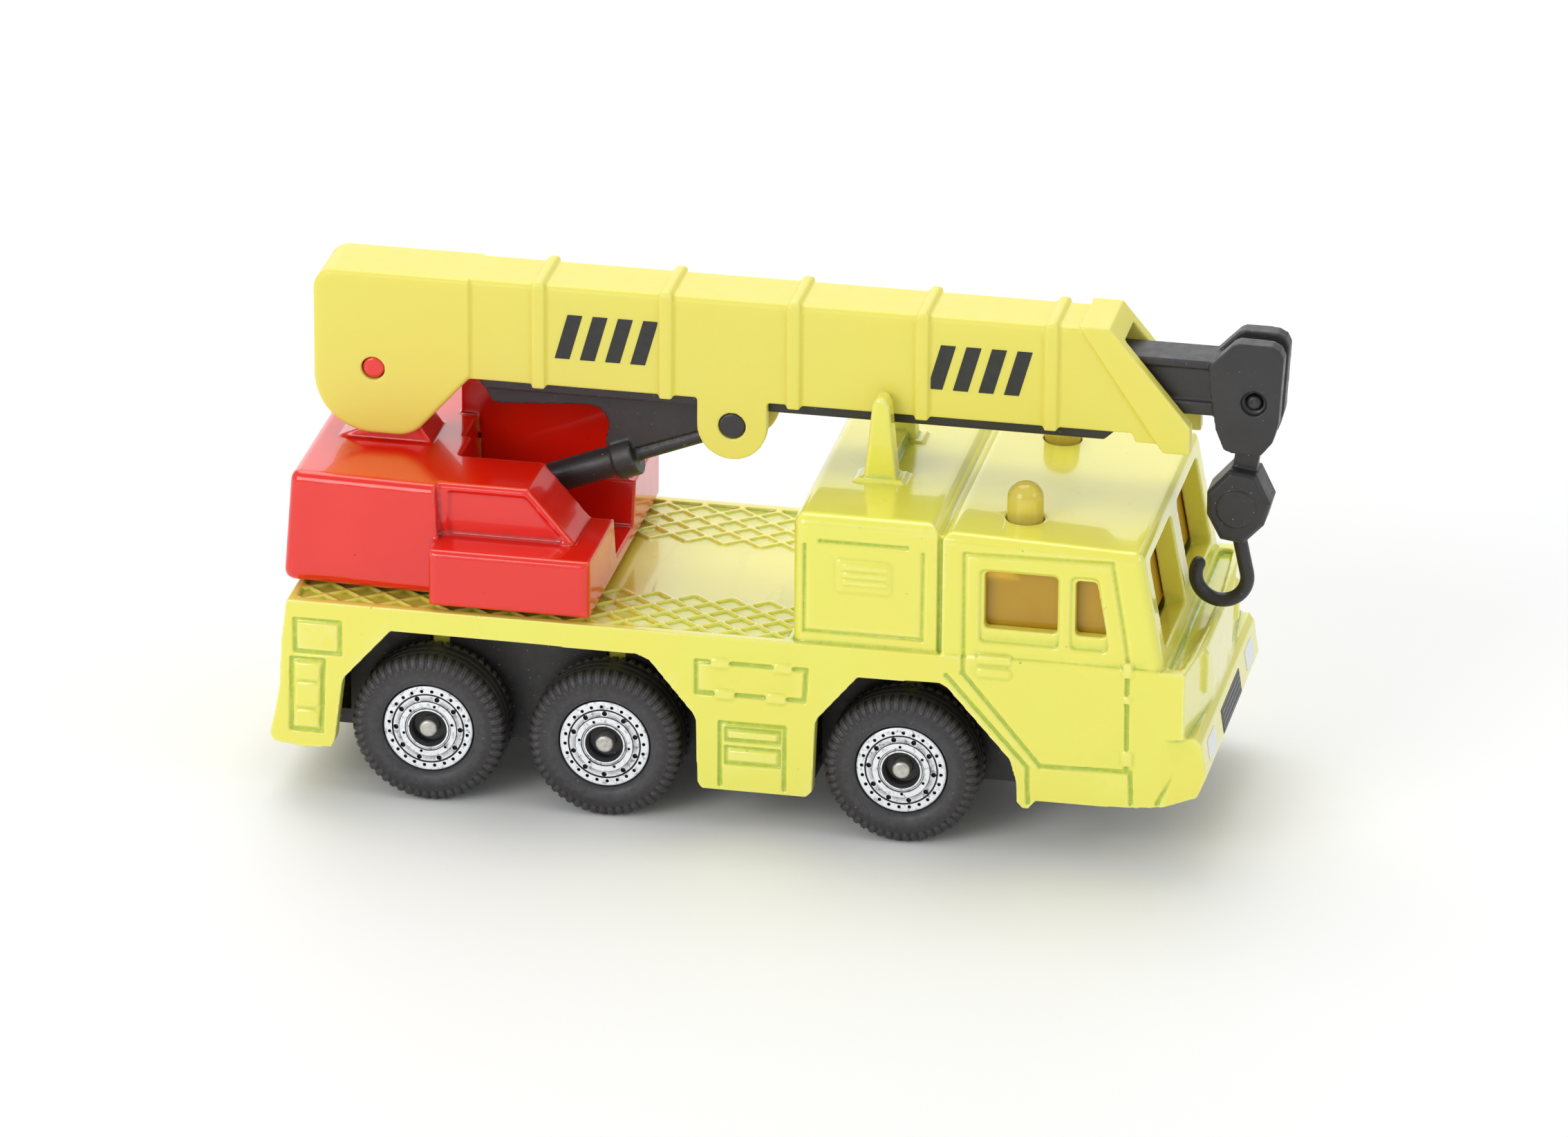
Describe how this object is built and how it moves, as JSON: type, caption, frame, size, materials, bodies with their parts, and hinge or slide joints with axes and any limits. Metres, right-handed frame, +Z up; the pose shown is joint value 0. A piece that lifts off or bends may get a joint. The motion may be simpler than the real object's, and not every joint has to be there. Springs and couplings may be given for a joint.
{
  "type": "toy crane truck",
  "caption": "Pocket-size die-cast mobile crane with a yellow truck body, red slewing turret, lifting and telescoping boom and a hanging hook.",
  "frame": {"origin": "on the ground under the middle of the whole toy, from the boom head to the rear apron", "axes": "+X towards the truck's front, +Y to its left, +Z up"},
  "size_m": [0.0756, 0.0262, 0.0394],
  "materials": {
    "yellow_paint": "gloss enamel over a zinc casting",
    "red_paint": "gloss enamel over a zinc casting",
    "yellow_plastic": "satin injection moulding, slightly translucent",
    "black_plastic": "fine grained injection moulding",
    "tyre_rubber": "soft matt rubber-like plastic",
    "rim_plastic": "black moulding with a silver print on the face",
    "amber_clear": "clear amber moulding",
    "steel": "cropped and riveted wire ends"
  },
  "bodies": {
    "truck_body": {"body_casting": "yellow_paint", "base_plate": "black_plastic", "base_rivets": "steel", "glazing_insert": "amber_clear"},
    "rear_wheels": {"rear_axle": "steel", "rear_right_rim": "rim_plastic", "rear_right_tyre": "tyre_rubber", "rear_left_rim": "rim_plastic", "rear_left_tyre": "tyre_rubber"},
    "middle_wheels": {"middle_axle": "steel", "middle_right_rim": "rim_plastic", "middle_right_tyre": "tyre_rubber", "middle_left_rim": "rim_plastic", "middle_left_tyre": "tyre_rubber"},
    "front_wheels": {"front_axle": "steel", "front_right_rim": "rim_plastic", "front_right_tyre": "tyre_rubber", "front_left_rim": "rim_plastic", "front_left_tyre": "tyre_rubber"},
    "turret": {"turret_casting": "red_paint", "turret_rivet": "steel"},
    "boom": {"main_boom": "yellow_plastic", "boom_underside_with_ram": "black_plastic"},
    "extension": {"inner_boom": "black_plastic"},
    "head_pin": {"hook_pin": "steel"},
    "hook": {"hook_block": "black_plastic"}
  },
  "joints": [
    {"name": "rear_wheel_spin", "type": "hinge", "parent": "truck_body", "child": "rear_wheels", "pos_m": [-0.0256, 0, 0.006], "axis": [0, 1, 0], "continuous": true},
    {"name": "middle_wheel_spin", "type": "hinge", "parent": "truck_body", "child": "middle_wheels", "pos_m": [-0.0119, 0, 0.006], "axis": [0, 1, 0], "continuous": true},
    {"name": "front_wheel_spin", "type": "hinge", "parent": "truck_body", "child": "front_wheels", "pos_m": [0.011, 0, 0.006], "axis": [0, 1, 0], "continuous": true},
    {"name": "turret_slew", "type": "hinge", "parent": "truck_body", "child": "turret", "pos_m": [-0.0263, 0, 0.0164], "axis": [0, 0, 1], "continuous": true},
    {"name": "boom_lift", "type": "hinge", "parent": "turret", "child": "boom", "pos_m": [-0.0319, 0, 0.0313], "axis": [0, -1, 0], "range_deg": [0, 50]},
    {"name": "boom_extend", "type": "slide", "parent": "boom", "child": "extension", "axis": [1, 0, 0], "range_m": [0, 0.025]},
    {"name": "head_pin_turn", "type": "hinge", "parent": "extension", "child": "head_pin", "pos_m": [0.0356, 0, 0.0339], "axis": [0, -1, 0], "range_deg": [-50, 0]},
    {"name": "hook_swing", "type": "hinge", "parent": "head_pin", "child": "hook", "pos_m": [0.0356, 0, 0.0339], "axis": [0, -1, 0], "range_deg": [0, 75]}
  ],
  "couplings": [
    {"joint": "head_pin_turn", "follows": "boom_lift", "ratio": -1}
  ]
}
